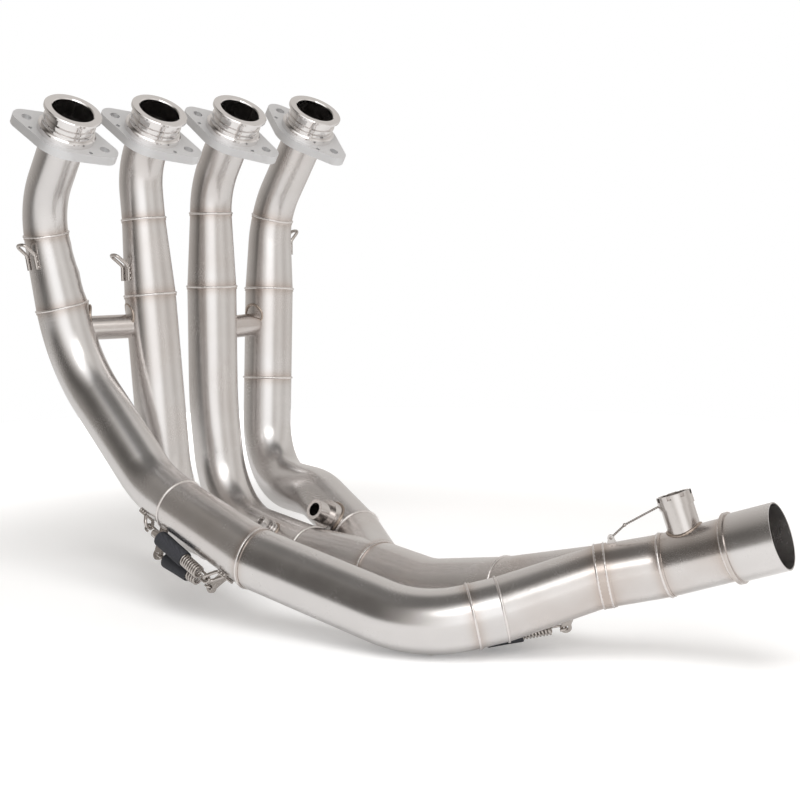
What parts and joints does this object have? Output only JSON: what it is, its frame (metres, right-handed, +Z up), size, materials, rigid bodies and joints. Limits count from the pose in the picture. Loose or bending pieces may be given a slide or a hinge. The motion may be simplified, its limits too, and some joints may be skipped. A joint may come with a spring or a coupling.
{
  "type": "motorcycle exhaust header",
  "caption": "Stainless exhaust header: port flanges and bent primary tubes merge in pairs, then into one outlet.",
  "frame": {"origin": "middle of the bounding box's bottom face, under the header at the height of the lower bend's underside", "axes": "+X rearward from the ports to the outlet, +Y to the rider's right along the port row, +Z up"},
  "size_m": [0.643, 0.3308, 0.4232],
  "materials": {
    "brushed_tube": "brushed stainless tube with pale straw tint by the welds",
    "collar_steel": "turned and polished stainless",
    "flange_aluminium": "satin blasted light alloy",
    "fitting_steel": "machined stainless fitting"
  },
  "bodies": {
    "root": {"port_collar_1": "collar_steel", "port_flange_1": "flange_aluminium", "primary_upper_1": "brushed_tube", "primary_cone_1": "brushed_tube", "primary_lower_1": "brushed_tube", "port_collar_2": "collar_steel", "port_flange_2": "flange_aluminium", "primary_upper_2": "brushed_tube", "primary_cone_2": "brushed_tube", "primary_lower_2": "brushed_tube", "port_collar_3": "collar_steel", "port_flange_3": "flange_aluminium", "primary_upper_3": "brushed_tube", "primary_cone_3": "brushed_tube", "primary_lower_3": "brushed_tube", "port_collar_4": "collar_steel", "port_flange_4": "flange_aluminium", "primary_upper_4": "brushed_tube", "primary_cone_4": "brushed_tube", "primary_lower_4": "brushed_tube", "primary_elbow_4": "brushed_tube", "crossover_12": "brushed_tube", "crossover_34": "brushed_tube", "front_merge": "brushed_tube", "rear_merge": "brushed_tube", "final_collector": "brushed_tube", "secondary_front": "brushed_tube", "secondary_front_end": "brushed_tube", "secondary_rear": "brushed_tube", "collector_throat": "brushed_tube", "outlet_sleeve": "brushed_tube", "sensor_section": "brushed_tube", "outlet_tube": "brushed_tube", "front_sensor_bung": "fitting_steel", "rear_sensor_boss": "fitting_steel", "sensor_plug": "fitting_steel"}
  },
  "joints": []
}
